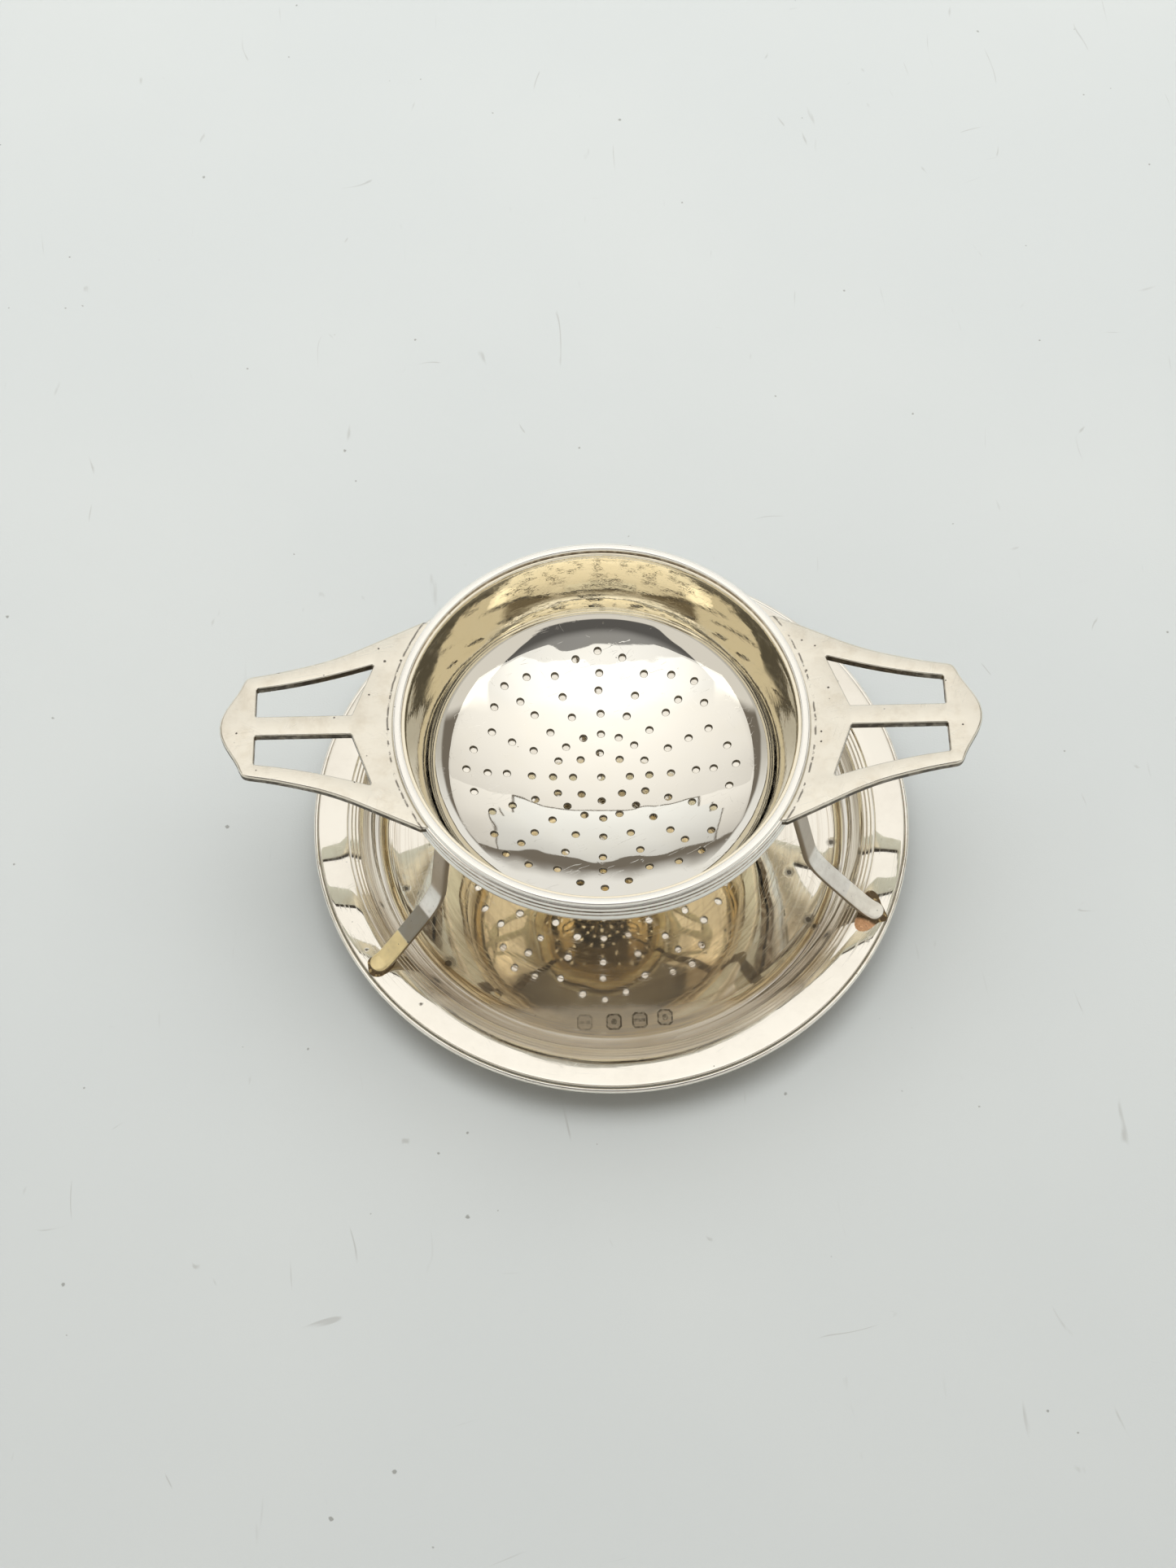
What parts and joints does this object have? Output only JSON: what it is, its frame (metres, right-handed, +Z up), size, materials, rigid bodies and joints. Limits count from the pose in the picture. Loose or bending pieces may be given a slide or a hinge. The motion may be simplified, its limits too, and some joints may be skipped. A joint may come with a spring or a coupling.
{
  "type": "tea strainer on drip-bowl stand",
  "caption": "Two-handled pierced metal tea strainer with a reeded rim, resting on bent strap arms that rise from a shallow flanged drip bowl.",
  "frame": {"origin": "centre of the flat underside of the drip bowl, on the table", "axes": "+Z up, +X along the strainer's two handles towards the right handle, -Y towards the front"},
  "size_m": [0.116, 0.0966, 0.0382],
  "materials": {
    "strainer_cup_silver": "polished silver, lightly worn",
    "strainer_rim_moulding_silver": "polished silver",
    "strainer_handle_left_silver": "satin worn silver",
    "strainer_handle_right_silver": "satin worn silver",
    "drip_bowl_silver": "polished silver with brown tarnish inside",
    "drip_bowl_edge_wire_silver": "polished silver",
    "support_arm_left_silver": "worn silver, yellowed at the foot",
    "support_arm_right_silver": "worn silver",
    "support_arm_back_silver": "worn silver",
    "arm_solder_left_silver": "dull coppery solder",
    "arm_solder_right_silver": "dull coppery solder",
    "arm_solder_back_silver": "dull coppery solder"
  },
  "bodies": {
    "stand": {"drip_bowl": "drip_bowl_silver", "drip_bowl_edge_wire": "drip_bowl_edge_wire_silver", "support_arm_left": "support_arm_left_silver", "support_arm_right": "support_arm_right_silver", "support_arm_back": "support_arm_back_silver", "arm_solder_left": "arm_solder_left_silver", "arm_solder_right": "arm_solder_right_silver", "arm_solder_back": "arm_solder_back_silver"},
    "strainer": {"strainer_cup": "strainer_cup_silver", "strainer_rim_moulding": "strainer_rim_moulding_silver", "strainer_handle_left": "strainer_handle_left_silver", "strainer_handle_right": "strainer_handle_right_silver"}
  },
  "joints": [
    {"name": "strainer_lift", "type": "slide", "parent": "stand", "child": "strainer", "axis": [0, 0, 1], "range_m": [0, 0.05]}
  ]
}
